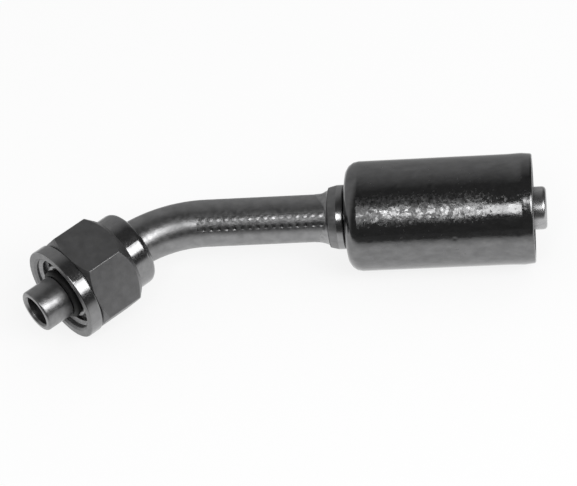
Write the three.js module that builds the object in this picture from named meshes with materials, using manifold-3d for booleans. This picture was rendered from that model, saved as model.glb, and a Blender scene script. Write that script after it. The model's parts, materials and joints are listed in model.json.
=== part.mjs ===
// 45-degree hose end: a bent steel tube with a swivel nut and a sealing pilot at one end, and a
// barbed hose stem with its captive crimp ferrule at the other.
// Millimetres, +Z up. +X runs along the stem towards the hose. The bend turns the nut end towards -Y.
// The fitting lies on the plane Z = 0, on its ferrule and on the lowest edge of its nut.
import * as THREE from 'three';
import * as BufferGeometryUtils from 'three/addons/utils/BufferGeometryUtils.js';
import Module from 'manifold-3d';

const wasm = await Module();
wasm.setup();

// ---- bent tube ----
const TUBE_OD = 9.525;
const TUBE_WALL = 1.25;
const BEND_ANGLE = THREE.MathUtils.degToRad(45);
const BEND_RADIUS = 22.0;
const STRAIGHT_LENGTH = 25.0;   // from the end of the bend to the mouth of the stem's socket
const BEAD_OD = 11.8;
const BEAD_LENGTH = 2.2;
const BEAD_EDGE = 0.35;
const PILOT_OD = 8.8;
const PILOT_BORE = 6.2;
const PILOT_REACH = 6.15;       // how far the pilot stands out of the nut
const PILOT_EDGE = 0.35;
const SEAL_GROOVE_OD = 7.6;     // floor of the groove between the bead and the pilot
const THROAT_TAPER = 2.5;       // length over which the bore narrows into the pilot

// ---- pilot seal ----
const SEAL_SECTION = 1.45;

// ---- swivel nut ----
const NUT_ACROSS_FLATS = 19.05;
const NUT_TURN = THREE.MathUtils.degToRad(10); // the nut's flats, from the plane of the bend
const HEX_LENGTH = 10.7;
const HEX_FRONT_CHAMFER = 1.0;
const HEX_REAR_CHAMFER = 2.4;
const HEX_REAR_RADIUS = 8.7;    // where the rear chamfer meets the end of the hexagon
const COLLAR_OD = 19.8;         // round front end, a little wider than the flats
const COLLAR_LENGTH = 2.9;
const COLLAR_EDGE = 0.25;
const HUB_OD = 16.0;
const HUB_LENGTH = 4.7;
const HUB_EDGE = 1.2;
const HUB_OVERRUN = 1.3;        // the hub reaches this far back over the end of the bend
const THREAD_BORE = 14.5;
const THREAD_DEPTH = 7.6;
const THREAD_RELIEF_DEPTH = 0.7;
const THREAD_RELIEF_LENGTH = 1.6;
const MOUTH_CHAMFER = 0.9;
const NUT_SLIDE = 3.7;          // how far the nut stands back from the bead, against the bend

// ---- hose stem ----
const SOCKET_OD = 12.9;
const SOCKET_LENGTH = 2.55;     // cylindrical part of the socket collar
const SOCKET_CONE = 0.5;
const SOCKET_LIP = 1.2;         // wall of the cone at its mouth
const SOCKET_DEPTH = 2.1;
const LOCK_GAP = 0.45;          // bare groove between the socket and the ferrule
const LOCK_GROOVE_OD = 9.8;
const LOCK_SHOULDER_OD = 12.4;
const LOCK_SHOULDER_LENGTH = 2.0;
const STEM_BORE = 5.2;
const STEM_ROOT_OD = 8.0;
const STEM_TIP_OD = 8.5;
const STEM_TIP_LENGTH = 5.5;    // plain pilot at the end that enters the hose first
const STEM_TIP_REACH = 2.5;     // how far the tip stands out of the ferrule
const STEM_TIP_CHAMFER = 0.8;
const BARB_OD = 9.3;
const BARB_COUNT = 5;
const BARB_RAMP = 0.8;          // share of each barb's pitch that is its long ramp

// ---- braze fillet ----
const FILLET_LENGTH = 2.0;
const FILLET_HEIGHT = 1.1;

// ---- crimp ferrule ----
const FERRULE_OD = 22.1;
const FERRULE_WALL = 1.3;
const FERRULE_LENGTH = 36.9;
const FERRULE_SHOULDER = 2.1;   // radius of the drawn shoulder
const FERRULE_BACK = 2.0;       // thickness of the back wall
const FERRULE_RIM_EDGE = 0.4;
const BITE_COUNT = 6;
const BITE_HEIGHT = 0.45;
const BITE_WIDTH = 1.5;

// ---- clearances ----
const SPIN_CLEARANCE = 0.3;     // round and beside everything that turns
const BRAZE_CLEARANCE = 0.06;   // between brazed or seated pieces

// ---- smoothness ----
const SIDES = 40;
const SEAL_SIDES = 12;          // round the section of the seal
const RIM_STEPS = 3;            // steps in a small rounded edge
const BEND_STEPS = 12;
const SETTLING_STEPS = 12;      // repeats that settle the fitting's roll

const tubeRadius = TUBE_OD / 2;
const tubeBoreRadius = tubeRadius - TUBE_WALL;
const pilotRadius = PILOT_OD / 2;
const grooveRadius = SEAL_GROOVE_OD / 2;
const ferruleRadius = FERRULE_OD / 2;
const ferruleInnerRadius = ferruleRadius - FERRULE_WALL;

// Stations on the stem's axis. X = 0 is the outer face of the ferrule's back wall.
const socketRear = -LOCK_GAP;
const socketConeRear = socketRear - SOCKET_LENGTH;
const socketMouth = socketConeRear - SOCKET_CONE;
const bendStart = socketMouth - STRAIGHT_LENGTH;
const lockShoulderFront = FERRULE_BACK + SPIN_CLEARANCE;
const barbStart = lockShoulderFront + LOCK_SHOULDER_LENGTH;
const stemTip = FERRULE_LENGTH + STEM_TIP_REACH;
const stemTipStart = stemTip - STEM_TIP_LENGTH;

// Stations on the nut's axis, counted outwards from the end of the bend.
const hubRear = -HUB_OVERRUN;
const hexRear = hubRear + HUB_LENGTH;
const hexFront = hexRear + HEX_LENGTH;
const nutFront = hexFront + COLLAR_LENGTH;
const nutShoulder = nutFront - THREAD_DEPTH;
const beadRear = nutShoulder + SPIN_CLEARANCE + NUT_SLIDE;
const beadFront = beadRear + BEAD_LENGTH;
const grooveFront = beadFront + SEAL_SECTION + 2 * BRAZE_CLEARANCE;
const pilotEnd = nutFront + PILOT_REACH;

// The nut's axis in the plane of the bend, seen from the end of the bend.
const bendEnd = new THREE.Vector2(
  bendStart - BEND_RADIUS * Math.sin(BEND_ANGLE),
  -BEND_RADIUS * (1 - Math.cos(BEND_ANGLE)),
);
const nutDirection = new THREE.Vector2(-Math.cos(BEND_ANGLE), -Math.sin(BEND_ANGLE));

// ---- geometry helpers ----

// Points on a quarter-round edge, from one angle to another, about its own centre.
function arc(centreX, centreR, radius, from, to, steps = RIM_STEPS) {
  const points = [];
  for (let i = 0; i <= steps; i += 1) {
    const angle = from + (to - from) * i / steps;
    points.push([centreX + radius * Math.cos(angle), centreR + radius * Math.sin(angle)]);
  }
  return points;
}

// A turned body on the X axis. The outline is a list of [x, radius] that closes on itself
// and runs anticlockwise with x to the right and the radius up.
function turned(outline) {
  const points = outline.map(([x, radius]) => new THREE.Vector2(radius, -x));
  points.push(points[0].clone());
  const geometry = new THREE.LatheGeometry(points, SIDES);
  geometry.rotateZ(Math.PI / 2);
  return welded(geometry);
}

// Only positions, with the shared vertices merged.
function welded(geometry) {
  geometry.deleteAttribute('normal');
  geometry.deleteAttribute('uv');
  return BufferGeometryUtils.mergeVertices(geometry, 1e-4);
}

function toManifold(geometry) {
  return new wasm.Manifold(new wasm.Mesh({
    numProp: 3,
    vertProperties: new Float32Array(geometry.attributes.position.array),
    triVerts: new Uint32Array(geometry.index.array),
  }));
}

function fromManifold(solid) {
  const mesh = solid.getMesh();
  const geometry = new THREE.BufferGeometry();
  geometry.setAttribute('position', new THREE.BufferAttribute(mesh.vertProperties, 3));
  geometry.setIndex(new THREE.BufferAttribute(mesh.triVerts, 1));
  return geometry;
}

function part(name, geometry, colour, roughness, metalness) {
  const material = new THREE.MeshStandardMaterial({ color: colour, roughness, metalness });
  const mesh = new THREE.Mesh(geometry, material);
  mesh.name = name;
  geometry.computeVertexNormals();
  return mesh;
}

// A hollow body swept along stations. Each station has a centre, a direction in the plane of the
// bend, an outer and an inner radius. The skin goes out along the outside and back through the bore.
function swept(stations) {
  const loops = stations.map(({ centre, direction, outer }) => ring(centre, direction, outer));
  const bore = stations.map(({ centre, direction, inner }) => ring(centre, direction, inner));
  const rings = [...loops, ...bore.reverse()];
  const vertices = rings.flat(2);
  const indices = [];
  rings.forEach((_, i) => {
    const next = (i + 1) % rings.length;
    for (let k = 0; k < SIDES; k += 1) {
      const after = (k + 1) % SIDES;
      const [a, b, c, d] = [i * SIDES + k, next * SIDES + k, next * SIDES + after, i * SIDES + after];
      indices.push(a, c, b, a, d, c);
    }
  });
  const geometry = new THREE.BufferGeometry();
  geometry.setAttribute('position', new THREE.Float32BufferAttribute(vertices, 3));
  geometry.setIndex(indices);
  return BufferGeometryUtils.mergeVertices(geometry, 1e-4);
}

function ring(centre, direction, radius) {
  const points = [];
  for (let k = 0; k < SIDES; k += 1) {
    const angle = 2 * Math.PI * k / SIDES;
    const side = radius * Math.cos(angle);
    const x = centre.x - direction.y * side;
    const y = centre.y + direction.x * side;
    points.push([x, y, radius * Math.sin(angle)]);
  }
  return points;
}

// ---- the pieces ----

// Centre and direction of the tube at a distance along the nut's axis.
function onNutAxis(distance) {
  return { centre: bendEnd.clone().addScaledVector(nutDirection, distance), direction: nutDirection };
}

function elbowTube() {
  const stations = [];
  const along = (place, outer, inner) => stations.push({ ...place, outer, inner });
  const stemDirection = new THREE.Vector2(-1, 0);
  const tubeRear = socketMouth + SOCKET_DEPTH - BRAZE_CLEARANCE;
  along({ centre: new THREE.Vector2(tubeRear, 0), direction: stemDirection }, tubeRadius, tubeBoreRadius);
  for (let i = 0; i <= BEND_STEPS; i += 1) {
    const angle = BEND_ANGLE * i / BEND_STEPS;
    const centre = new THREE.Vector2(
      bendStart - BEND_RADIUS * Math.sin(angle),
      -BEND_RADIUS * (1 - Math.cos(angle)),
    );
    const direction = new THREE.Vector2(-Math.cos(angle), -Math.sin(angle));
    along({ centre, direction }, tubeRadius, tubeBoreRadius);
  }
  const beadRadius = BEAD_OD / 2;
  const throat = beadFront - THROAT_TAPER;
  const bore = (s) => {
    const share = THREE.MathUtils.clamp((s - throat) / THROAT_TAPER, 0, 1);
    return THREE.MathUtils.lerp(tubeBoreRadius, PILOT_BORE / 2, share);
  };
  const outside = [
    [beadRear, tubeRadius],
    [beadRear, beadRadius - BEAD_EDGE],
    [beadRear + BEAD_EDGE, beadRadius],
    [beadFront - BEAD_EDGE, beadRadius],
    [beadFront, beadRadius - BEAD_EDGE],
    [beadFront, grooveRadius],
    [grooveFront, grooveRadius],
    [grooveFront, pilotRadius],
    ...arc(pilotEnd - PILOT_EDGE, pilotRadius - PILOT_EDGE, PILOT_EDGE, Math.PI / 2, 0),
  ];
  outside.forEach(([s, radius]) => along(onNutAxis(s), radius, bore(s)));
  return part('elbow_tube', swept(stations), '#a7a9ab', 0.3, 0.95);
}

// Pieces on the nut's axis are turned about X and then laid along that axis.
function onNutAxisGroup(...meshes) {
  const group = new THREE.Group();
  group.position.set(bendEnd.x, bendEnd.y, 0);
  group.rotation.z = Math.PI + BEND_ANGLE;
  group.add(...meshes);
  return group;
}

function pilotSeal() {
  const radius = SEAL_SECTION / 2;
  const centreX = beadFront + radius + BRAZE_CLEARANCE;
  const centreR = grooveRadius + radius + BRAZE_CLEARANCE;
  const outline = arc(centreX, centreR, radius, 0, 2 * Math.PI, SEAL_SIDES).slice(0, -1);
  return part('pilot_o_ring', turned(outline), '#161616', 0.6, 0);
}

// A hexagonal bar on the X axis, with a flat facing up before it is turned.
function hexBar(from, to) {
  const corner = NUT_ACROSS_FLATS / 2 / Math.cos(Math.PI / 6);
  const shape = new THREE.Shape();
  for (let i = 0; i < 6; i += 1) {
    const angle = Math.PI / 3 * i - NUT_TURN;
    const [across, up] = [corner * Math.cos(angle), corner * Math.sin(angle)];
    if (i === 0) shape.moveTo(across, up);
    else shape.lineTo(across, up);
  }
  const geometry = new THREE.ExtrudeGeometry(shape, { depth: to - from, bevelEnabled: false });
  geometry.rotateY(Math.PI / 2);
  geometry.rotateX(Math.PI / 2);
  geometry.translate(from, 0, 0);
  return welded(geometry);
}

function swivelNut() {
  const corner = NUT_ACROSS_FLATS / 2 / Math.cos(Math.PI / 6);
  const hubRadius = HUB_OD / 2;
  const collarRadius = COLLAR_OD / 2;
  const tubeHole = tubeRadius + SPIN_CLEARANCE;
  const threadRadius = THREAD_BORE / 2;
  const reliefRadius = threadRadius + THREAD_RELIEF_DEPTH;
  const reliefFront = nutShoulder + THREAD_RELIEF_LENGTH;
  const core = tubeHole / 2;    // the hole for the tube is open already
  const envelope = turned([
    [hexRear, tubeHole],
    [hexFront, tubeHole],
    [hexFront, collarRadius],
    [hexFront - HEX_FRONT_CHAMFER, corner],
    [hexRear + HEX_REAR_CHAMFER, corner],
    [hexRear, HEX_REAR_RADIUS],
  ]);
  const collar = turned([
    [hexFront - HEX_FRONT_CHAMFER, tubeHole],
    [nutFront, tubeHole],
    ...arc(nutFront - COLLAR_EDGE, collarRadius - COLLAR_EDGE, COLLAR_EDGE, 0, Math.PI / 2),
    [hexFront, collarRadius],
    [hexFront - HEX_FRONT_CHAMFER, NUT_ACROSS_FLATS / 2],
  ]);
  const hub = turned([
    [hubRear, tubeHole],
    [hexRear + HEX_REAR_CHAMFER, tubeHole],
    [hexRear + HEX_REAR_CHAMFER, hubRadius],
    ...arc(hubRear + HUB_EDGE, hubRadius - HUB_EDGE, HUB_EDGE, Math.PI / 2, Math.PI),
  ]);
  const cavity = turned([
    [nutShoulder, core],
    [nutFront + MOUTH_CHAMFER, core],
    [nutFront + MOUTH_CHAMFER, threadRadius + 2 * MOUTH_CHAMFER],
    [nutFront - MOUTH_CHAMFER, threadRadius],
    [reliefFront + THREAD_RELIEF_DEPTH, threadRadius],
    [reliefFront, reliefRadius],
    [nutShoulder, reliefRadius],
  ]);
  const solid = toManifold(hexBar(hexRear, hexFront))
    .intersect(toManifold(envelope))
    .add(toManifold(collar))
    .add(toManifold(hub))
    .subtract(toManifold(cavity));
  return part('swivel_nut', fromManifold(solid), '#6f7173', 0.5, 0.9);
}

function hoseStem() {
  const rootRadius = STEM_ROOT_OD / 2;
  const tipRadius = STEM_TIP_OD / 2;
  const boreRadius = STEM_BORE / 2;
  const socketRadius = tubeRadius + BRAZE_CLEARANCE;
  const socketFloor = socketMouth + SOCKET_DEPTH;
  const pitch = (stemTipStart - barbStart) / BARB_COUNT;
  const barbs = [];
  for (let i = 0; i < BARB_COUNT; i += 1) {
    const rear = barbStart + i * pitch;
    barbs.push([rear + pitch * (1 - BARB_RAMP), rootRadius]);
    barbs.push([rear + pitch * (1 - BARB_RAMP), BARB_OD / 2]);
    barbs.push([rear + pitch, rootRadius]);
  }
  const outline = [
    [socketMouth, socketRadius],
    [socketFloor, socketRadius],
    [socketFloor, boreRadius],
    [stemTip, boreRadius],
    [stemTip, tipRadius - STEM_TIP_CHAMFER],
    [stemTip - STEM_TIP_CHAMFER, tipRadius],
    [stemTipStart, tipRadius],
    ...barbs.reverse(),
    [barbStart, rootRadius],
    [barbStart, LOCK_SHOULDER_OD / 2],
    [lockShoulderFront, LOCK_SHOULDER_OD / 2],
    [lockShoulderFront, LOCK_GROOVE_OD / 2],
    [socketRear, LOCK_GROOVE_OD / 2],
    [socketRear, SOCKET_OD / 2],
    [socketConeRear, SOCKET_OD / 2],
    [socketMouth, socketRadius + SOCKET_LIP],
  ];
  return part('hose_stem', turned(outline), '#b4b6b8', 0.25, 1);
}

function brazeFillet() {
  const foot = tubeRadius + BRAZE_CLEARANCE;
  const rear = socketMouth - BRAZE_CLEARANCE;
  // A concave run of filler metal, from the socket's lip down to the tube.
  const outline = [[rear, foot]];
  for (let i = 0; i <= RIM_STEPS; i += 1) {
    const angle = Math.PI / 2 * i / RIM_STEPS;
    const x = rear - FILLET_LENGTH * (1 - Math.cos(angle));
    outline.push([x, foot + FILLET_HEIGHT * (1 - Math.sin(angle))]);
  }
  return part('braze_fillet', turned(outline), '#b9b7ae', 0.45, 0.9);
}

function ferrule() {
  const inner = ferruleInnerRadius;
  const holeRadius = LOCK_GROOVE_OD / 2 + SPIN_CLEARANCE;
  const rimCentre = FERRULE_LENGTH - FERRULE_RIM_EDGE;
  const shoulderCentre = ferruleRadius - FERRULE_SHOULDER;
  const gripStart = FERRULE_BACK + FERRULE_SHOULDER;
  const pitch = (FERRULE_LENGTH - gripStart) / (BITE_COUNT + 1);
  const bites = [];
  for (let i = 1; i <= BITE_COUNT; i += 1) {
    const middle = gripStart + i * pitch;
    bites.push([middle - BITE_WIDTH / 2, inner]);
    bites.push([middle, inner - BITE_HEIGHT]);
    bites.push([middle + BITE_WIDTH / 2, inner]);
  }
  const outline = [
    [0, holeRadius],
    [FERRULE_BACK, holeRadius],
    [FERRULE_BACK, inner - FERRULE_SHOULDER / 2],
    [FERRULE_BACK + FERRULE_SHOULDER / 2, inner],
    ...bites,
    ...arc(rimCentre, inner + FERRULE_RIM_EDGE, FERRULE_RIM_EDGE, -Math.PI / 2, 0),
    ...arc(rimCentre, ferruleRadius - FERRULE_RIM_EDGE, FERRULE_RIM_EDGE, 0, Math.PI / 2),
    ...arc(FERRULE_SHOULDER, shoulderCentre, FERRULE_SHOULDER, Math.PI / 2, Math.PI, 2 * RIM_STEPS),
  ];
  return part('ferrule', turned(outline), '#8d8f91', 0.35, 0.95);
}

// ---- assembly ----

// The roll about the stem's axis that lets the nut come down to the plane that the ferrule lies on.
// The front end of the nut's lowest edge touches. How far the nut reaches down depends on how its
// flats lean, and the lean on the roll, so the two are found together.
function restingRoll() {
  const corner = NUT_ACROSS_FLATS / 2 / Math.cos(Math.PI / 6);
  const touch = hexFront - HEX_FRONT_CHAMFER;
  const offset = touch * Math.sin(BEND_ANGLE) + BEND_RADIUS * (1 - Math.cos(BEND_ANGLE));
  let roll = 0;
  for (let i = 0; i < SETTLING_STEPS; i += 1) {
    const lean = NUT_TURN + Math.atan(Math.sin(BEND_ANGLE) * Math.tan(roll));
    const fromFlat = lean - Math.round(lean / (Math.PI / 3)) * Math.PI / 3;
    const reach = corner * Math.cos(Math.PI / 6 - Math.abs(fromFlat));
    roll = Math.asin((ferruleRadius - reach) / offset);
  }
  return roll;
}

const fitting = new THREE.Group();
fitting.add(elbowTube(), hoseStem(), brazeFillet(), ferrule());
fitting.add(onNutAxisGroup(pilotSeal(), swivelNut()));
fitting.rotation.x = restingRoll();

// The origin is under the middle of the fitting, on the plane that it lies on.
const assembly = new THREE.Group();
assembly.add(fitting);
assembly.updateMatrixWorld(true);
const bounds = new THREE.Box3().setFromObject(assembly, true);
fitting.position.set(
  -(bounds.min.x + bounds.max.x) / 2,
  -(bounds.min.y + bounds.max.y) / 2,
  -bounds.min.z,
);

export default assembly;
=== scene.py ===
# The looks of the 45-degree hose end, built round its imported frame. Blender works in metres, +Z up.
import json
import math
import random

import bmesh
import bpy
from mathutils import Matrix, Vector, noise


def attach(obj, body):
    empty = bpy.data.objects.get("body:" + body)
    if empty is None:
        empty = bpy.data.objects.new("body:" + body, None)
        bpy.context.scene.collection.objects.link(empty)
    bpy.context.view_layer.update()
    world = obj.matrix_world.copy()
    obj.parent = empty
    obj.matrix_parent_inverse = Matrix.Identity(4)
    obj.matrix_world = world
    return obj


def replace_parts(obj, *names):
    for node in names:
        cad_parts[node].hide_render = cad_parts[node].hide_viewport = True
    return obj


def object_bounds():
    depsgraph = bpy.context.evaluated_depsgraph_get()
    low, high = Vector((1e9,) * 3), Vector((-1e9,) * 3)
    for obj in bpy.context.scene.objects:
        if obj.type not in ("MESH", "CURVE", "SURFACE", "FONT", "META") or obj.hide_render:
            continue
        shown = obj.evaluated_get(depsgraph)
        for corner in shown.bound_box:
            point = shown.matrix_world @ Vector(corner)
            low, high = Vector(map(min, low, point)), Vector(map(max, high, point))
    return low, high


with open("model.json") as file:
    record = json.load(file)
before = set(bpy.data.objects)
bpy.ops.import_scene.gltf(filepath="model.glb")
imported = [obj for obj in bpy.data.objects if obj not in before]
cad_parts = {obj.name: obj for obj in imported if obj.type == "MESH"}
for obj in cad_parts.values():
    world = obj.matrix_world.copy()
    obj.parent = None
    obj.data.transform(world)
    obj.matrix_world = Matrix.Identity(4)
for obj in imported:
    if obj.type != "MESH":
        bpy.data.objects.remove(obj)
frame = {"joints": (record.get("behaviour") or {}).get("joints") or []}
cad_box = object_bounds()

MM = 0.001
SIDES = 192
EDGE_STEPS = 4                  # in a rounded corner
CORNER_SHARE = 0.48             # the most of a side that one rounded corner may take
STRAIGHT = math.radians(89.5)   # half the angle at a corner that is as good as straight
LEAST_REACH = 1e-5
WELD = 1e-7                     # in metres
SHARP_EDGE = 32.0               # degrees
NUT_SHARP_EDGE = 25.0

# ---- sizes in millimetres: most are the part's own, and a few differ a little for relief or round edges ----
TUBE_RADIUS = 4.7625
TUBE_BORE_RADIUS = 3.5125
BEND_ANGLE = math.radians(45)
BEND_RADIUS = 22.0
STRAIGHT_LENGTH = 25.0
PILOT_RADIUS = 4.4
PILOT_BORE_RADIUS = 3.1
PILOT_REACH = 6.15
PILOT_EDGE = 0.5
PILOT_CHAMFER = 0.35
PILOT_CHAMFER_LENGTH = 0.5
SEAL_FLOOR_RADIUS = 3.8
SEAL_RADIUS = 0.725
SEAT_GAP = 0.06
BEAD_RADIUS = 5.9
BEAD_LENGTH = 2.2
BEAD_EDGE = 0.4
THROAT_TAPER = 2.5
SPIN_GAP = 0.3

HALF_FLATS = 9.525
HEX_CORNER = HALF_FLATS / math.cos(math.pi / 6)
CORNER_ROUND = 0.3
NUT_TURN = math.radians(10)
NUT_SLIDE = 3.7
HUB_RADIUS = 7.9
HUB_EDGE = 1.5
HEX_REAR_RADIUS = 8.7
HEX_REAR_CHAMFER = 2.4
HEX_FRONT_RADIUS = 9.55
HEX_FRONT_CHAMFER = 0.9
HEX_FRONT_STEP = 0.05
COLLAR_RADIUS = 9.89
COLLAR_EDGE = 0.25
COLLAR_GROOVE_WIDTH = 0.22      # the fine groove between the hexagon and the collar
COLLAR_GROOVE_DEPTH = 0.25
THREAD_DEPTH = 7.6
THREAD_CREST = 7.25
THREAD_ROOT = 7.94
THREAD_PITCH = 1.411
THREAD_TURNS = 3.6
MOUTH_RADIUS = 8.45
MOUTH_CHAMFER = 0.4
RELIEF_RADIUS = 7.95

SOCKET_RADIUS = 6.45
SOCKET_LENGTH = 3.05
SOCKET_CYLINDER = 1.35          # the rest of the socket's length is its cone
SOCKET_BORE_RADIUS = TUBE_RADIUS + SEAT_GAP
SOCKET_LIP = 1.2
SOCKET_DEPTH = 2.1
LOCK_GAP = 0.45
LOCK_GROOVE_RADIUS = 4.9
LOCK_SHOULDER_RADIUS = 6.2
LOCK_SHOULDER_LENGTH = 2.0
BARB_COUNT = 5
BARB_RADIUS = 4.65
BARB_ROOT_RADIUS = 4.0
BARB_RAMP = 0.8
STEM_TIP_REACH = 2.5
STEM_TIP_LENGTH = 5.5
STEM_TIP_RADIUS = 4.25
STEM_TIP_EDGE = 1.4
STEM_BORE_RADIUS = 2.6

FERRULE_LENGTH = 36.9
FERRULE_RADIUS = 10.95
FERRULE_INNER_RADIUS = 9.75
FERRULE_SHOULDER = 2.7
FERRULE_BACK = 2.0
FERRULE_RIM = 0.35
BITE_COUNT = 6
BITE_HEIGHT = 0.45
BITE_HALF_WIDTH = 0.75

# ---- places along the nut's axis, from the end of the bend ----
HUB_REAR = -1.3
HEX_REAR = 3.4
HEX_FRONT = 14.1
NUT_FRONT = 17.0
NUT_SHOULDER = NUT_FRONT - THREAD_DEPTH
BEAD_REAR = NUT_SHOULDER + SPIN_GAP + NUT_SLIDE
BEAD_FRONT = BEAD_REAR + BEAD_LENGTH
GROOVE_FRONT = BEAD_FRONT + 2 * SEAL_RADIUS + 2 * SEAT_GAP
PILOT_END = NUT_FRONT + PILOT_REACH

# ---- places along the stem's axis, from the ferrule's back ----
SOCKET_REAR = -LOCK_GAP
SOCKET_MOUTH = SOCKET_REAR - SOCKET_LENGTH
SOCKET_CONE_REAR = SOCKET_REAR - SOCKET_CYLINDER
BEND_START = SOCKET_MOUTH - STRAIGHT_LENGTH
LOCK_SHOULDER_START = FERRULE_BACK + SPIN_GAP
BARB_START = LOCK_SHOULDER_START + LOCK_SHOULDER_LENGTH
STEM_TIP = FERRULE_LENGTH + STEM_TIP_REACH
STEM_TIP_START = STEM_TIP - STEM_TIP_LENGTH

# ---- surfaces farther out than these are a piece's outside ----
TUBE_OUTSIDE = TUBE_BORE_RADIUS + 0.5
STEM_OUTSIDE = STEM_BORE_RADIUS + 0.3
FERRULE_OUTSIDE = FERRULE_INNER_RADIUS + 0.7

# ---- where the two axes lie ----
joints = {joint["name"]: joint for joint in frame["joints"]}
stem_axis = Vector(joints["ferrule_spin"]["axis"]).normalized()
nut_axis = Vector(joints["nut_spin"]["axis"]).normalized()
bend_normal = nut_axis.cross(stem_axis).normalized()


def axis_frame(joint, axis, middle):
    """The frame with X along the axis, from that far behind the joint, and Z out of the bend's plane."""
    turn = Matrix((axis, bend_normal.cross(axis), bend_normal)).transposed().to_4x4()
    return Matrix.Translation(Vector(joints[joint]["pos_m"]) - axis * middle * MM) @ turn


stem_place = axis_frame("ferrule_spin", stem_axis, FERRULE_LENGTH / 2)
nut_place = axis_frame("nut_spin", nut_axis, (HEX_REAR + NUT_FRONT) / 2)


# ---- shapes ----
def rounded(corners, closed=True):
    """An outline with each corner (x, radius, fillet) rounded off."""
    outline = []
    count = len(corners)
    for i, (x, r, fillet) in enumerate(corners):
        here = Vector((x, r))
        if fillet == 0 or (not closed and i in (0, count - 1)):
            outline.append(here)
            continue
        before = Vector(corners[i - 1][:2]) - here
        after = Vector(corners[(i + 1) % count][:2]) - here
        u = before.normalized()
        v = after.normalized()
        half = math.acos(max(-1.0, min(1.0, u.dot(v)))) / 2
        reach = min(fillet / math.tan(half), CORNER_SHARE * before.length, CORNER_SHARE * after.length)
        if half > STRAIGHT or reach < LEAST_REACH:
            reach = max(reach, LEAST_REACH)
            start = here + u * reach
            end = here + v * reach
            outline += [start.lerp(end, k / EDGE_STEPS) for k in range(EDGE_STEPS + 1)]
            continue
        radius = reach * math.tan(half)
        centre = here + (u + v).normalized() * radius / math.sin(half)
        start = here + u * reach - centre
        end = here + v * reach - centre
        sweep = start.angle_signed(end)
        for k in range(EDGE_STEPS + 1):
            turn = Matrix.Rotation(-sweep * k / EDGE_STEPS, 2)
            outline.append(centre + turn @ start)
    return outline


def stepped(outline, step, low, high, least):
    """The outline with more points on its long sides, from low to high and outside the least radius."""
    finer = []
    for here, after in zip(outline, outline[1:] + outline[:1]):
        finer.append(here)
        length = (after - here).length
        along = low <= min(here.x, after.x) and max(here.x, after.x) <= high
        if length > step and along and min(here.y, after.y) > least:
            count = math.ceil(length / step)
            finer += [here.lerp(after, k / count) for k in range(1, count)]
    return finer


def ring_faces(ring_count, sides, closed=True):
    """Quads between rings of points, and from the last ring back to the first if they are closed."""
    faces = []
    for i in range(ring_count if closed else ring_count - 1):
        ring = i * sides
        after_ring = (i + 1) % ring_count * sides
        for k in range(sides):
            after = (k + 1) % sides
            faces.append((ring + k, ring + after, after_ring + after, after_ring + k))
    return faces


def finish_mesh(name, points, faces, place, body, materials, sharp=SHARP_EDGE):
    """A piece of points in the frame of its axis. It rides on its body."""
    mesh = bpy.data.meshes.new(name)
    mesh.from_pydata([place @ (Vector(point) * MM) for point in points], [], faces)
    work = bmesh.new()
    work.from_mesh(mesh)
    bmesh.ops.remove_doubles(work, verts=work.verts, dist=WELD)
    bmesh.ops.recalc_face_normals(work, faces=work.faces)
    work.to_mesh(mesh)
    work.free()
    mesh.shade_smooth()
    mesh.set_sharp_from_angle(angle=math.radians(sharp))
    piece = bpy.data.objects.new(name, mesh)
    bpy.context.scene.collection.objects.link(piece)
    weigh = piece.modifiers.new("even_normals", "WEIGHTED_NORMAL")
    weigh.keep_sharp = True
    for material in materials:
        mesh.materials.append(material)
    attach(piece, body)
    return piece


def turned(name, outline, place, body, materials, relief=None, sides=SIDES):
    """A body turned on the X axis. The relief says how far its surface stands out at (x, radius, angle)."""
    points = []
    for x, r in outline:
        for k in range(sides):
            angle = 2 * math.pi * k / sides
            out = r + relief(x, r, angle) if relief else r
            points.append((x, out * math.cos(angle), out * math.sin(angle)))
    return finish_mesh(name, points, ring_faces(len(outline), sides), place, body, materials)


def paint(piece, place, material_at):
    """Gives each face the number of a material, by its middle in the frame of the axis."""
    inward = place.inverted()
    for face in piece.data.polygons:
        face.material_index = material_at(inward @ face.center / MM)


# ---- materials ----
NOISE_LOW = 0.3         # nearly all noise lies between these two
NOISE_HIGH = 0.7
CLOUD_DETAIL = 3.0
FINE_DETAIL = 2.0
GLOSS_SCALE = 2.3       # how much finer the gloss varies than the tone
RELIEF_DEPTH = 0.00005  # in metres
BLUE_SHARE = 1.01
LONG_GRAIN = (2, 1, 1)
LONGISH_GRAIN = (1.5, 1, 1)


def node(tree, kind, **settings):
    made = tree.nodes.new(kind)
    for key, value in settings.items():
        setattr(made, key, value)
    return made


def mapped(tree, value, low, high, to_low, to_high):
    made = node(tree, "ShaderNodeMapRange")
    tree.links.new(value, made.inputs["Value"])
    made.inputs["From Min"].default_value = low
    made.inputs["From Max"].default_value = high
    made.inputs["To Min"].default_value = to_low
    made.inputs["To Max"].default_value = to_high
    return made.outputs["Result"]


def computed(tree, operation, first, second):
    """A Math node of two outputs."""
    made = node(tree, "ShaderNodeMath", operation=operation)
    tree.links.new(first, made.inputs[0])
    tree.links.new(second, made.inputs[1])
    return made.outputs[0]


def object_noise(tree, scale, detail, place, stretch=(1, 1, 1)):
    """Noise in the frame of the piece's own axis. Stretch is how long its grain is along X, Y and Z."""
    here = node(tree, "ShaderNodeTexCoord")
    mapping = node(tree, "ShaderNodeMapping", vector_type="TEXTURE")
    mapping.inputs["Location"].default_value = place.to_translation()
    mapping.inputs["Rotation"].default_value = place.to_euler()
    mapping.inputs["Scale"].default_value = stretch
    tree.links.new(here.outputs["Object"], mapping.inputs["Vector"])
    grain = node(tree, "ShaderNodeTexNoise")
    grain.inputs["Scale"].default_value = scale
    grain.inputs["Detail"].default_value = detail
    tree.links.new(mapping.outputs["Vector"], grain.inputs["Vector"])
    return grain.outputs["Fac"]


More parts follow.
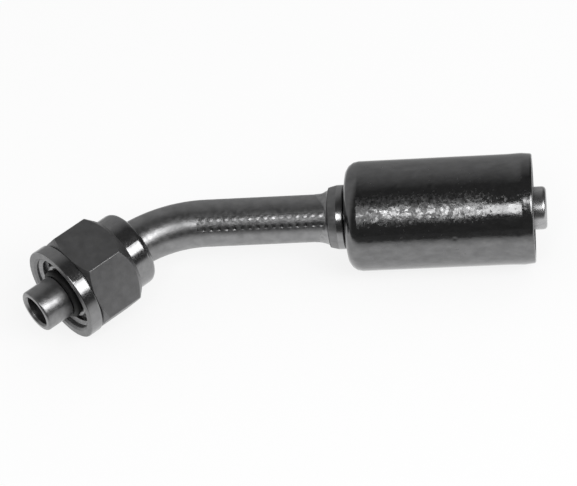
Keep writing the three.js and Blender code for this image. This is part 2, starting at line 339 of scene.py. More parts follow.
def grey(value):
    return (value, value, value * BLUE_SHARE, 1.0)


def two_greys(tree, share, dark, light):
    """From the dark grey to the light one, by a share from 0 to 1."""
    tone = node(tree, "ShaderNodeMix", data_type="RGBA")
    tree.links.new(share, tone.inputs["Factor"])
    tone.inputs["A"].default_value = grey(dark)
    tone.inputs["B"].default_value = grey(light)
    return tone.outputs["Result"]


def steel(name, place, tone, rough, grain=900.0, stretch=(1, 1, 1), bump=0.0, bump_scale=1500.0):
    """Plated steel: a cloudy tone and an uneven gloss, each between two values, and a fine relief."""
    material = bpy.data.materials.new(name)
    material.use_nodes = True
    tree = material.node_tree
    shader = tree.nodes["Principled BSDF"]
    shader.inputs["Metallic"].default_value = 1.0
    cloud = object_noise(tree, grain, CLOUD_DETAIL, place, stretch)
    share = mapped(tree, cloud, NOISE_LOW, NOISE_HIGH, 0.0, 1.0)
    tree.links.new(two_greys(tree, share, *tone), shader.inputs["Base Color"])
    gloss = object_noise(tree, grain * GLOSS_SCALE, FINE_DETAIL, place, stretch)
    tree.links.new(mapped(tree, gloss, NOISE_LOW, NOISE_HIGH, *rough), shader.inputs["Roughness"])
    if bump:
        relief = object_noise(tree, bump_scale, FINE_DETAIL, place, stretch)
        bumps = node(tree, "ShaderNodeBump")
        bumps.inputs["Strength"].default_value = bump
        bumps.inputs["Distance"].default_value = RELIEF_DEPTH
        tree.links.new(relief, bumps.inputs["Height"])
        tree.links.new(bumps.outputs["Normal"], shader.inputs["Normal"])
    return material


def on_stem(name, tone, rough, **settings):
    return steel(name, stem_place, tone, rough, **settings)


def on_nut(name, tone, rough, **settings):
    return steel(name, nut_place, tone, rough, **settings)


tube_steel = on_stem("tube_steel", (0.24, 0.31), (0.28, 0.42), grain=500.0, bump=0.30, bump_scale=1400.0)
# painted shade: the pits of the jaws' marks are coloured nearly black, standing in for the shade inside them
pit_painted_shade_steel = on_stem("pit_painted_shade_steel", (0.03, 0.08), (0.50, 0.65), grain=1500.0)
grip_steel = on_stem("grip_steel", (0.11, 0.20), (0.34, 0.48), bump=0.40, bump_scale=1700.0)
turned_steel = on_nut("turned_steel", (0.24, 0.28), (0.15, 0.22), bump=0.12)
flat_steel = on_nut("flat_steel", (0.19, 0.24), (0.40, 0.50), grain=500.0, bump=0.25, bump_scale=1800.0)
# painted light: the thread and the wall of the bore are lighter than the other turned steel, standing in for
# light bounced into the bore
thread_painted_light_steel = on_nut("thread_painted_light_steel", (0.32, 0.42), (0.40, 0.52), grain=1200.0)
stem_steel = on_stem("stem_steel", (0.26, 0.31), (0.16, 0.22), stretch=LONG_GRAIN, bump=0.1)
dull_steel = on_stem("dull_steel", (0.21, 0.27), (0.38, 0.48), stretch=LONG_GRAIN, bump=0.3)
# painted highlight: the tip's steel is lighter than the rest of the stem, standing in for the bright
# reflection on it
tip_painted_highlight_steel = on_stem("tip_painted_highlight_steel", (0.38, 0.48), (0.24, 0.32), stretch=LONG_GRAIN, bump=0.2)
drawn = {"grain": 700.0, "stretch": LONGISH_GRAIN, "bump": 0.25}
scuffed = {"grain": 800.0, "bump": 0.55, "bump_scale": 1700.0}
ferrule_steel = on_stem("ferrule_steel", (0.17, 0.22), (0.10, 0.18), **drawn)
scuffed_steel = on_stem("scuffed_steel", (0.16, 0.22), (0.13, 0.36), **scuffed)
# painted shade: a darker copy of the scuffed steel, which dims the lamps' highlight in patches
scuff_painted_shade_steel = on_stem("scuff_painted_shade_steel", (0.07, 0.12), (0.20, 0.42), **scuffed)
braze_metal = on_stem("braze_metal", (0.26, 0.38), (0.26, 0.36), grain=1500.0, bump=0.5, bump_scale=1400.0)


def rubber():
    material = bpy.data.materials.new("seal_rubber")
    material.use_nodes = True
    tree = material.node_tree
    shader = tree.nodes["Principled BSDF"]
    shader.inputs["Specular IOR Level"].default_value = 0.2
    cloud = object_noise(tree, 1800.0, CLOUD_DETAIL, nut_place)
    tree.links.new(two_greys(tree, cloud, 0.006, 0.014), shader.inputs["Base Color"])
    rough = mapped(tree, cloud, NOISE_LOW, NOISE_HIGH, 0.50, 0.62)
    tree.links.new(rough, shader.inputs["Roughness"])
    return material


seal_rubber = rubber()

# ---- bent tube ----
BEND_STEPS = 90
BORE_STRIDE = 6         # of these, the steps from one ring of the bore to the next
RING_STEP = 0.14        # between the rings of the straight length
COARSE_STEP = 3         # degrees between the points of a ring
FINE_STEP = 1           # the same under the jaws' marks, which lie between these two angles
FINE_START = 18
FINE_END = 63
MARK_PITCH = 1.575
LAST_MARK = -4.88       # the row of marks nearest the socket
MARK_ROWS = 16
MARK_STRENGTH = 0.75    # the share of its height that a mark has, give or take an uneven part
MARK_UNEVEN = 0.5
MARK_FALL = 1.6
MARK_CORE = 0.8         # the share of a mark's radius that has the mark's own material: smooth steel on a bump, painted shade in a pit
BUMP_ANGLE = math.radians(52)   # the jaws pushed up a row of bumps here, and pressed a row of pits below it
BUMP_RADIUS = 0.6
BUMP_HEIGHT = 0.07
PIT_ANGLE = math.radians(28.5)
PIT_RADIUS = 0.45
PIT_DEPTH = 0.13
GRIP_START = -30.4      # along the middle line of the tube
GRIP_FADE = 0.6
GRIP_GRAIN = 0.016
GRIP_GRAIN_SIZE = 0.45


def tube_angles():
    """Angles round the tube, closer together under the marks of both jaws."""
    angles = []
    turn = 0
    while turn < 360:
        angles.append(math.radians(turn))
        turn += FINE_STEP if FINE_START <= turn % 180 < FINE_END else COARSE_STEP
    return angles


TUBE_ANGLES = tube_angles()
TUBE_SIDES = len(TUBE_ANGLES)


def plane_ring(centre, direction, radius_at):
    """A ring round the tube's middle line, whose direction lies in the bend's plane."""
    points = []
    for angle in TUBE_ANGLES:
        r = radius_at(angle)
        side = r * math.cos(angle)
        points.append((centre.x - direction.y * side, centre.y + direction.x * side, r * math.sin(angle)))
    return points


def bend_place(angle):
    """The point and the direction of the tube's middle line at an angle of the bend."""
    centre = Vector((BEND_START - BEND_RADIUS * math.sin(angle), -BEND_RADIUS * (1 - math.cos(angle))))
    return centre, Vector((-math.cos(angle), -math.sin(angle)))


def tube_place(point):
    """The distance along the tube's middle line, the distance from it and the angle round it."""
    if point.x >= BEND_START:
        s = point.x
        side = -point.y
    else:
        from_centre = Vector((BEND_START - point.x, point.y + BEND_RADIUS))
        s = BEND_START - BEND_RADIUS * math.atan2(from_centre.x, from_centre.y)
        side = BEND_RADIUS - from_centre.length
    return s, math.hypot(side, point.z), math.atan2(point.z, side)


def from_row(angle, row_angle):
    """How far it is round the tube from a row of marks. The opposite side has the same rows."""
    return (angle % math.pi - row_angle) * TUBE_RADIUS


def grip_share(s, angle):
    """How far inside a jaw's mark the place is, from 0 to 1."""
    inside = min(from_row(angle, PIT_ANGLE), -from_row(angle, BUMP_ANGLE)) + PIT_RADIUS
    along = min(s - GRIP_START, SOCKET_MOUTH - s)
    return max(0.0, min(1.0, inside / PIT_RADIUS, along / GRIP_FADE))


def grip_marks(s, angle):
    """How far the jaws' marks stand in or out, at a distance along the tube and an angle round it."""
    share = grip_share(s, angle)
    if share == 0:
        return 0.0
    place = Vector((s, TUBE_RADIUS * math.cos(angle), TUBE_RADIUS * math.sin(angle)))
    height = share * GRIP_GRAIN * (noise.noise(place / GRIP_GRAIN_SIZE) - 0.5)
    row = round((LAST_MARK - s) / MARK_PITCH)
    if 0 <= row < MARK_ROWS:
        along = s - LAST_MARK + row * MARK_PITCH
        strength = MARK_STRENGTH + MARK_UNEVEN * noise.noise(Vector((row * 1.7, 0.5, 0.5)))
        rows = ((BUMP_ANGLE, BUMP_HEIGHT, BUMP_RADIUS), (PIT_ANGLE, -PIT_DEPTH, PIT_RADIUS))
        for row_angle, size, radius in rows:
            away = math.hypot(along, from_row(angle, row_angle)) / radius
            height += size * strength * math.exp(-MARK_FALL * away ** 2)
    return height


def tube_finish(middle):
    """0 for plain steel and rubbed bumps, 1 for the rest of a jaw's mark, 2 for its pits, which are painted
    nearly black as painted shade.
    """
    s, radius, angle = tube_place(middle)
    if radius <= TUBE_OUTSIDE or grip_share(s, angle) <= 0.5:
        return 0
    along = s - LAST_MARK - MARK_PITCH * round((s - LAST_MARK) / MARK_PITCH)
    if math.hypot(along, from_row(angle, BUMP_ANGLE)) < MARK_CORE * BUMP_RADIUS:
        return 0
    return 2 if math.hypot(along, from_row(angle, PIT_ANGLE)) < MARK_CORE * PIT_RADIUS else 1


def elbow_tube():
    points = []
    tube_end = SOCKET_MOUTH + SOCKET_DEPTH - SEAT_GAP
    straight = tube_end - BEND_START
    count = math.ceil(straight / RING_STEP)
    along_stem = Vector((-1, 0))
    for i in range(count + 1):
        x = tube_end - straight * i / count
        points += plane_ring(Vector((x, 0)), along_stem, lambda a: TUBE_RADIUS + grip_marks(x, a))
    for i in range(1, BEND_STEPS):
        centre, direction = bend_place(BEND_ANGLE * i / BEND_STEPS)
        s = BEND_START - BEND_RADIUS * BEND_ANGLE * i / BEND_STEPS
        points += plane_ring(centre, direction, lambda a: TUBE_RADIUS + grip_marks(s, a))
    end, direction = bend_place(BEND_ANGLE)
    corners = [
        (0, TUBE_RADIUS, 0),
        (BEAD_REAR, TUBE_RADIUS, 0.3),
        (BEAD_REAR, BEAD_RADIUS, BEAD_EDGE),
        (BEAD_FRONT, BEAD_RADIUS, BEAD_EDGE),
        (BEAD_FRONT, SEAL_FLOOR_RADIUS, 0.1),
        (GROOVE_FRONT, SEAL_FLOOR_RADIUS, 0.1),
        (GROOVE_FRONT, PILOT_RADIUS, 0.15),
        (PILOT_END, PILOT_RADIUS, PILOT_EDGE),
        (PILOT_END, PILOT_BORE_RADIUS + PILOT_CHAMFER, 0.08),
        (PILOT_END - PILOT_CHAMFER_LENGTH, PILOT_BORE_RADIUS, 0.1),
        (BEAD_FRONT, PILOT_BORE_RADIUS, 0.5),
        (BEAD_FRONT - THROAT_TAPER, TUBE_BORE_RADIUS, 0.5),
        (0, TUBE_BORE_RADIUS, 0),
    ]
    for s, r in rounded(corners, closed=False):
        points += plane_ring(end + direction * s, direction, lambda a: r)
    for i in range(BEND_STEPS - 1, 0, -BORE_STRIDE):
        centre, direction = bend_place(BEND_ANGLE * i / BEND_STEPS)
        points += plane_ring(centre, direction, lambda a: TUBE_BORE_RADIUS)
    for x in (BEND_START, tube_end):
        points += plane_ring(Vector((x, 0)), along_stem, lambda a: TUBE_BORE_RADIUS)
    faces = ring_faces(len(points) // TUBE_SIDES, TUBE_SIDES)
    materials = [tube_steel, grip_steel, pit_painted_shade_steel]
    piece = finish_mesh("bent_tube", points, faces, stem_place, "tube_and_stem", materials)
    paint(piece, stem_place, tube_finish)
    return piece


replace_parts(elbow_tube(), "elbow_tube")

# ---- pilot seal ----
SEAL_STEPS = 24


def seal():
    centre_x = BEAD_FRONT + SEAL_RADIUS + SEAT_GAP
    centre_r = SEAL_FLOOR_RADIUS + SEAL_RADIUS + SEAT_GAP
    outline = []
    for i in range(SEAL_STEPS):
        angle = 2 * math.pi * i / SEAL_STEPS
        x = centre_x + SEAL_RADIUS * math.cos(angle)
        r = centre_r + SEAL_RADIUS * math.sin(angle)
        outline.append(Vector((x, r)))
    return turned("pilot_seal", outline, nut_place, "tube_and_stem", [seal_rubber])


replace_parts(seal(), "pilot_o_ring")

# ---- swivel nut ----
FLAT_STEPS = 18
CORNER_STEPS = 8
FLAT_LIMIT = math.atan((HALF_FLATS - CORNER_ROUND) * math.tan(math.pi / 6) / HALF_FLATS)
FACE_SLACK = 0.02
THREAD_STEPS = 96                   # in a turn
THREAD_RISE = THREAD_STEPS / 5      # steps over which the ridge rises at each end
THREAD_START = 0.8                  # behind the nut's front
THREAD_SUNK = 0.05                  # how deep the ridge's foot stands in the wall
THREAD_FOOT = 0.44                  # half widths of the ridge, as shares of the pitch
THREAD_TOP = 0.08


def hex_radius(angle):
    """Distance from the axis to the rounded hexagon, at an angle from the middle of a flat.

    The flat ends at FLAT_LIMIT.
    """
    lean = (angle + math.pi / 6) % (math.pi / 3) - math.pi / 6
    if abs(lean) <= FLAT_LIMIT:
        return HALF_FLATS / math.cos(lean)
    from_corner = math.pi / 6 - abs(lean)
    centre = (HALF_FLATS - CORNER_ROUND) / math.cos(math.pi / 6)
    across = centre * math.sin(from_corner)
    return centre * math.cos(from_corner) + math.sqrt(CORNER_ROUND ** 2 - across ** 2)


def hex_angles():
    """Angles round the nut, closer together at its corners."""
    steps = [-FLAT_LIMIT + 2 * FLAT_LIMIT * i / FLAT_STEPS for i in range(FLAT_STEPS + 1)]
    corner = 2 * (math.pi / 6 - FLAT_LIMIT)
    steps += [FLAT_LIMIT + corner * i / CORNER_STEPS for i in range(1, CORNER_STEPS)]
    return [math.pi / 3 * face + step for face in range(6) for step in steps]


def nut_outline(angle):
    """The nut's section at an angle from the middle of a flat."""
    flat = hex_radius(angle)
    rear_share = (flat - HEX_REAR_RADIUS) / (HEX_CORNER - HEX_REAR_RADIUS)
    front_share = max(0.0, (flat - HEX_FRONT_RADIUS) / (HEX_CORNER - HEX_FRONT_RADIUS))
    shelf = min(flat, HEX_FRONT_RADIUS)
    corners = [
        (HUB_REAR, TUBE_RADIUS + SPIN_GAP, 0.3),
        (HUB_REAR, HUB_RADIUS, HUB_EDGE),
        (HEX_REAR, HUB_RADIUS, 0.25),
        (HEX_REAR, HEX_REAR_RADIUS, 0.12),
        (HEX_REAR + HEX_REAR_CHAMFER * rear_share, flat, 0.15),
        (HEX_FRONT - HEX_FRONT_CHAMFER * front_share - HEX_FRONT_STEP, flat, 0.12),
        (HEX_FRONT, shelf, 0.02),
        (HEX_FRONT, shelf - COLLAR_GROOVE_DEPTH, 0.05),
        (HEX_FRONT + COLLAR_GROOVE_WIDTH, shelf - COLLAR_GROOVE_DEPTH, 0.05),
        (HEX_FRONT + COLLAR_GROOVE_WIDTH, COLLAR_RADIUS, 0.15),
        (NUT_FRONT, COLLAR_RADIUS, COLLAR_EDGE),
        (NUT_FRONT, MOUTH_RADIUS, 0.1),
        (NUT_FRONT - MOUTH_CHAMFER, THREAD_ROOT, 0.1),
        (NUT_SHOULDER, RELIEF_RADIUS, 0.2),
        (NUT_SHOULDER, TUBE_RADIUS + SPIN_GAP, 0.3),
    ]
    return rounded(corners)


def nut_finish(middle):
    """0 for turned faces, 1 for the flats and the front, 2 for the wall of the thread, in a lighter steel
    that is painted light.
    """
    out = math.hypot(middle.y, middle.z)
    mouth = NUT_FRONT - MOUTH_CHAMFER - FACE_SLACK
    if NUT_SHOULDER - FACE_SLACK < middle.x < mouth and out < RELIEF_RADIUS + 0.1:
        return 2
    on_front = middle.x > mouth and out < COLLAR_RADIUS - 0.2
    on_hexagon = HEX_REAR - FACE_SLACK < middle.x < HEX_FRONT + FACE_SLACK and out > HUB_RADIUS + 0.2
    return 1 if on_front or on_hexagon else 0


def swivel_nut():
    angles = hex_angles()
    columns = [nut_outline(angle) for angle in angles]
    points = []
    for i in range(len(columns[0])):
        for angle, column in zip(angles, columns):
            x, r = column[i]
            turn = angle + math.pi / 6 - NUT_TURN
            points.append((x, r * math.cos(turn), r * math.sin(turn)))
    faces = ring_faces(len(columns[0]), len(angles))
    materials = [turned_steel, flat_steel, thread_painted_light_steel]
    piece = finish_mesh("hex_nut", points, faces, nut_place, "nut", materials, NUT_SHARP_EDGE)
    paint(piece, nut_place, nut_finish)
    return piece


def nut_thread():
    """The ridge of the internal thread, let into the wall of the bore. Its steel is painted lighter, as
    painted light.
    """
    total = round(THREAD_TURNS * THREAD_STEPS)
    points = []
    for i in range(total + 1):
        angle = 2 * math.pi * i / THREAD_STEPS
        height = min(1.0, i / THREAD_RISE, (total - i) / THREAD_RISE)
        crest = THREAD_ROOT - (THREAD_ROOT - THREAD_CREST) * height
        x = NUT_FRONT - THREAD_START - THREAD_PITCH * i / THREAD_STEPS
        section = [
            (x + THREAD_PITCH * THREAD_FOOT, THREAD_ROOT + THREAD_SUNK),
            (x + THREAD_PITCH * THREAD_TOP, crest),
            (x - THREAD_PITCH * THREAD_TOP, crest),
            (x - THREAD_PITCH * THREAD_FOOT, THREAD_ROOT + THREAD_SUNK),
        ]
        points += [(sx, sr * math.cos(angle), sr * math.sin(angle)) for sx, sr in section]
    faces = ring_faces(total + 1, 4, closed=False)
    faces.append((0, 1, 2, 3))
    last = total * 4
    faces.append((last + 3, last + 2, last + 1, last))
    return finish_mesh("nut_thread", points, faces, nut_place, "nut", [thread_painted_light_steel])


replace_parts(swivel_nut(), "swivel_nut")
nut_thread()


# ---- hose stem ----
def stem_finish(middle):
    """0 for bright steel, 1 for the dull cone of the socket, 2 for the tip, whose lighter steel is a painted
    highlight.
    """
    if math.hypot(middle.y, middle.z) <= STEM_OUTSIDE:
        return 0
    if middle.x < SOCKET_CONE_REAR:
        return 1
    return 2 if middle.x > STEM_TIP_START else 0


def hose_stem():
    pitch = (STEM_TIP_START - BARB_START) / BARB_COUNT
    barbs = []
    for i in range(BARB_COUNT):
        rear = BARB_START + i * pitch
        edge = rear + pitch * (1 - BARB_RAMP)
        barbs.append((edge, BARB_ROOT_RADIUS, 0.1))
        barbs.append((edge, BARB_RADIUS, 0.06))
        barbs.append((rear + pitch, BARB_ROOT_RADIUS, 0.1))
    corners = [
        (SOCKET_MOUTH, SOCKET_BORE_RADIUS, 0),
        (SOCKET_MOUTH, SOCKET_BORE_RADIUS + SOCKET_LIP, 0.3),
        (SOCKET_CONE_REAR, SOCKET_RADIUS - 0.03, 0.8),
        (SOCKET_REAR, SOCKET_RADIUS, 0.25),
        (SOCKET_REAR, LOCK_GROOVE_RADIUS, 0.1),
        (LOCK_SHOULDER_START, LOCK_GROOVE_RADIUS, 0.1),
        (LOCK_SHOULDER_START, LOCK_SHOULDER_RADIUS, 0.2),
        (BARB_START, LOCK_SHOULDER_RADIUS, 0.2),
        (BARB_START, BARB_ROOT_RADIUS, 0.1),
        *barbs,
        (STEM_TIP_START, STEM_TIP_RADIUS, 0.1),
        (STEM_TIP, STEM_TIP_RADIUS, STEM_TIP_EDGE),
        (STEM_TIP, STEM_BORE_RADIUS, 0.2),
        (SOCKET_MOUTH + SOCKET_DEPTH, STEM_BORE_RADIUS, 0.1),
        (SOCKET_MOUTH + SOCKET_DEPTH, SOCKET_BORE_RADIUS, 0),
    ]
    materials = [stem_steel, dull_steel, tip_painted_highlight_steel]
    piece = turned("barbed_stem", rounded(corners), stem_place, "tube_and_stem", materials)
    paint(piece, stem_place, stem_finish)
    return piece


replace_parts(hose_stem(), "hose_stem")

# ---- braze ----
FILLET_LENGTH = 2.9
FILLET_SHORTEST = 0.5
FILLET_HEIGHT = 1.2
FILLET_THIN = 0.86               # the share of the height that the thin sides have
FILLET_SIDE = math.radians(44)   # the filler is thinnest on this side and on the opposite one
FILLET_STEPS = 14
FILLET_SWELL = 0.35              # how much its length varies
FILLET_SWELL_SCALE = 1.9
FILLET_LUMP = 0.10
FILLET_LUMP_SCALE = 5


def braze_ring():
    """A concave run of filler from the socket's lip down to the tube, longer and lumpier on two sides."""
    foot = TUBE_RADIUS + SEAT_GAP / 2
    front = SOCKET_MOUTH - SEAT_GAP / 2
    around = [2 * math.pi * k / SIDES for k in range(SIDES)]
    rings = [[(front, foot, turn) for turn in around]]
    for i in range(FILLET_STEPS + 1):
        fall = math.pi / 2 * i / FILLET_STEPS
        ring = []
        for turn in around:
            lean = math.sin(turn - FILLET_SIDE) ** 2
            side = Vector((math.cos(turn), math.sin(turn), 0))
            swell = noise.noise(side * FILLET_SWELL_SCALE + Vector((0, 0, 0.4)))
            ripple = noise.noise(side * FILLET_LUMP_SCALE + Vector((0, 0, 2.0 + i * 0.25)))
            length = FILLET_SHORTEST + (FILLET_LENGTH - FILLET_SHORTEST) * lean
            reach = length * (1 + FILLET_SWELL * swell) * (1 - math.cos(fall))
            height = FILLET_HEIGHT * (FILLET_THIN + (1 - FILLET_THIN) * lean) * (1 - math.sin(fall))
            lump = FILLET_LUMP * ripple * math.sin(2 * fall) * lean
            ring.append((front - reach, foot + height + lump, turn))
        rings.append(ring)
    points = [(x, r * -math.cos(turn), r * math.sin(turn)) for ring in rings for x, r, turn in ring]
    faces = ring_faces(len(rings), SIDES)
    return finish_mesh("braze_ring", points, faces, stem_place, "tube_and_stem", [braze_metal])


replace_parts(braze_ring(), "braze_fillet")

# ---- ferrule ----
FERRULE_SIDES = 360
SKIN_STEP = 0.22
DENT_COUNT = 60
DENT_START = 2.5
DENT_END = 1.5         # before the rim
DENT_SIZES = (0.25, 0.7)
DENT_DEPTHS = (0.008, 0.03)
DENT_REACH = 2         # in sizes
DENT_FALL = 2
DINGS = (              # the deeper ones: place along, angle, radius and depth
    (32.4, 113, 0.32, 0.05),
    (20.9, 152, 0.40, 0.06),
    (16.4, 129, 0.35, 0.04),
    (12.4, 135, 0.45, 0.04),
    (13.0, 144, 0.35, 0.04),
    (28.3, 143, 0.25, 0.04),
    (28.6, 145, 0.25, 0.05),
    (28.9, 147, 0.25, 0.05),
    (29.2, 149, 0.25, 0.04),
)
SWELL_START = 31.6     # the skin swells a little here and falls away again towards the rim
SWELL_TOP = 34.9
SWELL_HEIGHT = 0.08
RIM_FALL = 0.2
RUBBED_SIDES = (math.radians(131), math.radians(250), math.radians(15))   # it lay on these in its box, and the first also has the patches of painted shade
RUBBED_HALF = math.radians(19)
RUBBED_FADE = math.radians(10)
LEAST_RUBBED = 0.12    # between these sides
SMOOTH_START = 29.0    # from here to the rim the skin has only a share of its grain and scuffs
GRAIN_AT_RIM = 0.25
GRAIN_FADE = 4
SCUFFS_AT_RIM = 0.3
SCUFFS_FADE = 5
DRAWN_GRAIN = 0.018
DRAWN_GRAIN_SIZE = 0.8
GRAIN_AT_BACK = 1.3
GRAIN_LOSS = 0.5       # from the back to the rim
WAVE = 0.006
WAVE_SIZE = 3.5
SCUFF_LEVEL = 0.5
SCUFF_SPREAD = 0.6
SCUFF_SIZE = 0.55
SHADE_PATCH_SIZE = 1.2       # the patches of painted shade that dim the highlight, which thin out towards the rim
SHADE_PATCH_EDGE = 0.5
SHADE_PATCH_EDGE_SIZE = 0.35
SHADE_PATCH_LEVEL = 0.45
SHADE_PATCH_THINNING = 0.030
dice = random.Random(7)


def lip(x):
    """How far the skin near the rim stands out of the ferrule's body."""
    if x <= SWELL_TOP:
        share = max(0.0, (x - SWELL_START) / (SWELL_TOP - SWELL_START))
        return SWELL_HEIGHT * share * share * (3 - 2 * share)
    share = (x - SWELL_TOP) / (FERRULE_LENGTH - SWELL_TOP)
    return SWELL_HEIGHT - RIM_FALL * share


def round_to(angle, side):
    """The angle from a side, the shorter way round."""
    return (angle - side + math.pi) % (2 * math.pi) - math.pi


def rubbed(angle):
    """How rubbed the skin is on a side of the ferrule, up to 1."""
    nearest = min(abs(round_to(angle, side)) for side in RUBBED_SIDES)
    return LEAST_RUBBED + (1 - LEAST_RUBBED) * max(0.0, min(1.0, (RUBBED_HALF - nearest) / RUBBED_FADE))


def short_of_rim(x, at_rim, fade):
    """A share that is full at the back, and falls before SMOOTH_START to what it has at the rim."""
    return min(1.0, at_rim + max(0.0, SMOOTH_START - x) / fade)


def dents():
    """Shallow dents all round, and the dings, each with its place along, angle, radius and depth."""
    made = []
    for _ in range(DENT_COUNT):
        x = dice.uniform(DENT_START, FERRULE_LENGTH - DENT_END)
        angle = dice.uniform(0, 2 * math.pi)
        size = dice.uniform(*DENT_SIZES)
        depth = dice.uniform(*DENT_DEPTHS)
        made.append((x, angle, size, depth))
    return made + [(x, math.radians(turn), size, depth) for x, turn, size, depth in DINGS]


def ferrule_outline():
    grip_start = FERRULE_BACK + FERRULE_SHOULDER
    pitch = (FERRULE_LENGTH - grip_start) / (BITE_COUNT + 1)
    bites = []
    for i in range(1, BITE_COUNT + 1):
        middle = grip_start + i * pitch
        bites.append((middle - BITE_HALF_WIDTH, FERRULE_INNER_RADIUS, 0.15))
        bites.append((middle, FERRULE_INNER_RADIUS - BITE_HEIGHT, 0.12))
        bites.append((middle + BITE_HALF_WIDTH, FERRULE_INNER_RADIUS, 0.15))
    corners = [
        (0, LOCK_GROOVE_RADIUS + SPIN_GAP, 0.2),
        (FERRULE_BACK, LOCK_GROOVE_RADIUS + SPIN_GAP, 0.2),
        (FERRULE_BACK, FERRULE_INNER_RADIUS, FERRULE_SHOULDER / 2),
        *bites,
        (FERRULE_LENGTH, FERRULE_INNER_RADIUS, FERRULE_RIM),
        (FERRULE_LENGTH, FERRULE_RADIUS, FERRULE_RIM),
        (0, FERRULE_RADIUS, FERRULE_SHOULDER),
    ]
    return stepped(rounded(corners), SKIN_STEP, FERRULE_SHOULDER - 0.1, FERRULE_LENGTH, FERRULE_OUTSIDE)


def ferrule_finish(middle):
    """0 for drawn skin, 1 for scuffs, 2 for patches of painted shade that dim the highlight on the most
    rubbed side.
    """
    if middle.x <= FERRULE_SHOULDER or math.hypot(middle.y, middle.z) <= FERRULE_OUTSIDE:
        return 0
    angle = math.atan2(middle.z, middle.y)
    share = rubbed(angle) * short_of_rim(middle.x, SCUFFS_AT_RIM, SCUFFS_FADE)
    if share <= SCUFF_LEVEL + SCUFF_SPREAD * noise.noise(middle / SCUFF_SIZE):
        return 0
    # painted shade: only the side that faces the lamps gets the darker patches, where they dim the highlight
    if share <= SCUFFS_AT_RIM or abs(angle - RUBBED_SIDES[0]) >= RUBBED_HALF:
        return 1
    shade_patch = noise.noise(middle / SHADE_PATCH_SIZE) + SHADE_PATCH_EDGE * noise.noise(middle / SHADE_PATCH_EDGE_SIZE)
    return 2 if shade_patch < SHADE_PATCH_LEVEL - SHADE_PATCH_THINNING * middle.x else 1


def ferrule():
    marks = dents()

    def beaten(x, r, angle):
        """How far the outside stands out of a plain cylinder."""
        if r < FERRULE_OUTSIDE:
            return 0.0
        side = Vector((x, r * math.cos(angle), r * math.sin(angle)))
        rough = short_of_rim(x, GRAIN_AT_RIM, GRAIN_FADE) * (GRAIN_AT_BACK - GRAIN_LOSS * x / FERRULE_LENGTH)
        height = DRAWN_GRAIN * rough * rubbed(angle) * (noise.noise(side / DRAWN_GRAIN_SIZE) - 1)
        height += WAVE * (noise.noise(side / WAVE_SIZE) - 0.6)
        height += lip(x)
        for mark_x, mark_angle, size, depth in marks:
            if abs(x - mark_x) > DENT_REACH * size:
                continue
            away = math.hypot(x - mark_x, round_to(angle, mark_angle) * r) / size
            if away < DENT_REACH:
                height -= depth * math.exp(-DENT_FALL * away * away)
        return height

    steels = [ferrule_steel, scuffed_steel, scuff_painted_shade_steel]
    skin = ferrule_outline()
    place = stem_place
    piece = turned("crimp_ferrule", skin, place, "ferrule", steels, beaten, FERRULE_SIDES)
    paint(piece, place, ferrule_finish)
    return piece


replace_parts(ferrule(), "ferrule")

# ---- stage, in metres ----
FLOOR_HALF = 0.6
FLOOR_BELOW = 0.0002
FLOOR_COLOR = (0.9, 0.9, 0.9, 1)
FLOOR_GLOW = 0.82    # the share of the white floor that takes no shadow
POOL_START = 0.022   # reflections see the floor fade between these distances in front of the middle
POOL_END = 0.060
POOL_REST = 0.10
BACK_START = 0.024   # and less behind it
BACK_END = 0.070
BACK_REST = 0.40


def any_ray(tree, path, *kinds):
    """1 for a ray of one of these kinds, and 0 for all others."""
    found = path.outputs[kinds[0]]
    for kind in kinds[1:]:
        found = computed(tree, "MAXIMUM", found, path.outputs[kind])
    return found


def mixed(tree, share, first, second):
    """From the first shader to the second, by a share from 0 to 1."""
    made = node(tree, "ShaderNodeMixShader")
    tree.links.new(share, made.inputs[0])
    tree.links.new(first, made.inputs[1])
    tree.links.new(second, made.inputs[2])
    return made.outputs[0]


def glow(tree, strength):
    made = node(tree, "ShaderNodeEmission")
    made.inputs["Strength"].default_value = strength
    return made.outputs[0]


def floor_white():
    """The white that the camera and reflections see over the lit floor, which keeps the shadow."""
    material = bpy.data.materials.new("floor_white")
    material.use_nodes = True
    tree = material.node_tree
    tree.nodes.clear()
    path = node(tree, "ShaderNodeLightPath")
    lit = node(tree, "ShaderNodeBsdfDiffuse")
    lit.inputs["Color"].default_value = FLOOR_COLOR
    seen = any_ray(tree, path, "Is Camera Ray", "Is Glossy Ray", "Is Transmission Ray")
    white = mixed(tree, mapped(tree, seen, 0.0, 1.0, 0.0, FLOOR_GLOW), lit.outputs[0], glow(tree, 1.0))
    here = node(tree, "ShaderNodeTexCoord")
    place = node(tree, "ShaderNodeSeparateXYZ")
    tree.links.new(here.outputs["Object"], place.inputs[0])
    before = mapped(tree, place.outputs["Y"], -POOL_START, -POOL_END, 0.0, 1.0 - POOL_REST)
    behind = mapped(tree, place.outputs["Y"], BACK_START, BACK_END, 0.0, 1.0 - BACK_REST)
    beyond = computed(tree, "ADD", before, behind)
    faded = computed(tree, "MULTIPLY", beyond, path.outputs["Is Glossy Ray"])
    out = node(tree, "ShaderNodeOutputMaterial")
    tree.links.new(mixed(tree, faded, white, glow(tree, 0.0)), out.inputs["Surface"])
    return material


def floor():
    mesh = bpy.data.meshes.new("floor")
    half = FLOOR_HALF
    corners = [(-half, -half, 0), (half, -half, 0), (half, half, 0), (-half, half, 0)]
    mesh.from_pydata(corners, [], [(0, 1, 2, 3)])
    mesh.materials.append(floor_white())
    sheet = bpy.data.objects.new("floor", mesh)
    bpy.context.scene.collection.objects.link(sheet)
    sheet.location.z = -FLOOR_BELOW


floor()

LAMP_DISTANCE = 0.8
object_middle = (cad_box[0] + cad_box[1]) / 2


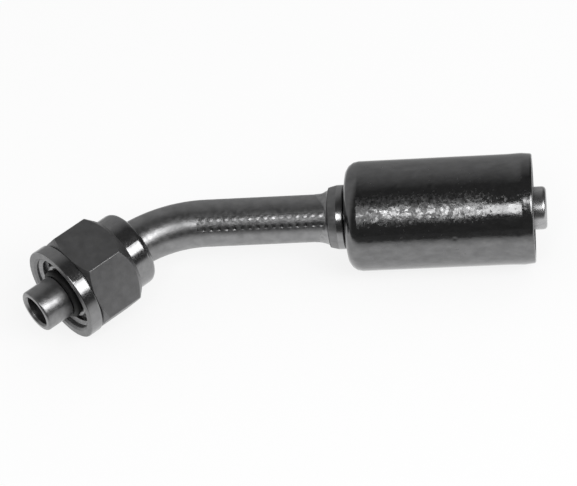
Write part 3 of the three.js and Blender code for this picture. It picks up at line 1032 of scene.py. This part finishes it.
def softbox(name, azimuth, elevation, width, height, power):
    """A rectangular lamp that faces the object. Azimuth is counted from +X towards +Y."""
    a = math.radians(azimuth)
    e = math.radians(elevation)
    towards = Vector((math.cos(e) * math.cos(a), math.cos(e) * math.sin(a), math.sin(e)))
    lamp = bpy.data.lights.new(name, "AREA")
    lamp.shape = "RECTANGLE"
    lamp.size = width
    lamp.size_y = height
    lamp.energy = power
    box = bpy.data.objects.new(name, lamp)
    bpy.context.scene.collection.objects.link(box)
    aim = towards.to_track_quat("Z", "Y").to_matrix().to_4x4()
    box.matrix_world = Matrix.Translation(object_middle + towards * LAMP_DISTANCE) @ aim


softbox("tube_softbox", -103, 43.5, 0.13, 0.26, 0.65)
softbox("ferrule_softbox", -93, 43.5, 0.16, 0.26, 0.45)
softbox("bend_softbox", -50, 45, 0.30, 0.38, 1.7)
softbox("left_softbox", -27, 33.5, 0.34, 0.32, 1.6)

# ---- world ----
BACKDROP_TOWARDS = (-0.75, 0.66, 0.0)   # reflections see a pale sweep on this side, and a dim room opposite
SWEEP_START = 0.12
SWEEP_END = 0.62
DIM_ROOM = 0.07
PALE_SWEEP = 0.42
ROOM_LIGHT = 0.6


def white_background(tree, strength):
    made = node(tree, "ShaderNodeBackground")
    made.inputs["Color"].default_value = (1, 1, 1, 1)
    made.inputs["Strength"].default_value = strength
    return made


def studio():
    """Pure white to the camera and through glass, graded for reflections, and even for all other light."""
    world = bpy.data.worlds.new("studio")
    bpy.context.scene.world = world
    world.use_nodes = True
    tree = world.node_tree
    tree.nodes.clear()
    room = white_background(tree, ROOM_LIGHT)
    white = white_background(tree, 1.0)
    mirrored = white_background(tree, 1.0)
    direction = node(tree, "ShaderNodeTexCoord")
    facing = node(tree, "ShaderNodeVectorMath", operation="DOT_PRODUCT")
    tree.links.new(direction.outputs["Generated"], facing.inputs[0])
    facing.inputs[1].default_value = BACKDROP_TOWARDS
    backdrop = mapped(tree, facing.outputs["Value"], SWEEP_START, SWEEP_END, DIM_ROOM, PALE_SWEEP)
    tree.links.new(backdrop, mirrored.inputs["Strength"])
    path = node(tree, "ShaderNodeLightPath")
    unseen = mixed(tree, path.outputs["Is Glossy Ray"], room.outputs[0], mirrored.outputs[0])
    seen = any_ray(tree, path, "Is Camera Ray", "Is Transmission Ray")
    out = node(tree, "ShaderNodeOutputWorld")
    tree.links.new(mixed(tree, seen, unseen, white.outputs[0]), out.inputs["Surface"])


studio()

# ---- camera ----
CAMERA_TILT = math.radians(-47.7116)
CAMERA_TURN = math.radians(-7.4736)
CAMERA_ROLL = math.radians(2.5553)
CAMERA_ASIDE = -0.5353 * MM
CAMERA_ABOVE = -0.2737 * MM
CAMERA_DISTANCE = 425.205 * MM
PIXELS_PER_MM = 5.061813
FRAME_WIDTH = 577
SENSOR = 36.0


def stand_camera():
    tilt = Matrix.Rotation(CAMERA_TILT, 3, "X")
    turn = Matrix.Rotation(CAMERA_TURN, 3, "Y")
    roll = Matrix.Rotation(CAMERA_ROLL, 3, "Z")
    back = (roll @ turn @ tilt).transposed()
    lens = bpy.data.cameras.new("camera")
    lens.sensor_width = SENSOR
    lens.lens = PIXELS_PER_MM * CAMERA_DISTANCE / MM * SENSOR / FRAME_WIDTH
    camera = bpy.data.objects.new("camera", lens)
    bpy.context.scene.collection.objects.link(camera)
    spot = object_middle + back @ Vector((-CAMERA_ASIDE, -CAMERA_ABOVE, CAMERA_DISTANCE))
    camera.matrix_world = Matrix.Translation(spot) @ back.to_4x4()
    bpy.context.scene.camera = camera


stand_camera()
bpy.context.scene.view_settings.view_transform = "Standard"
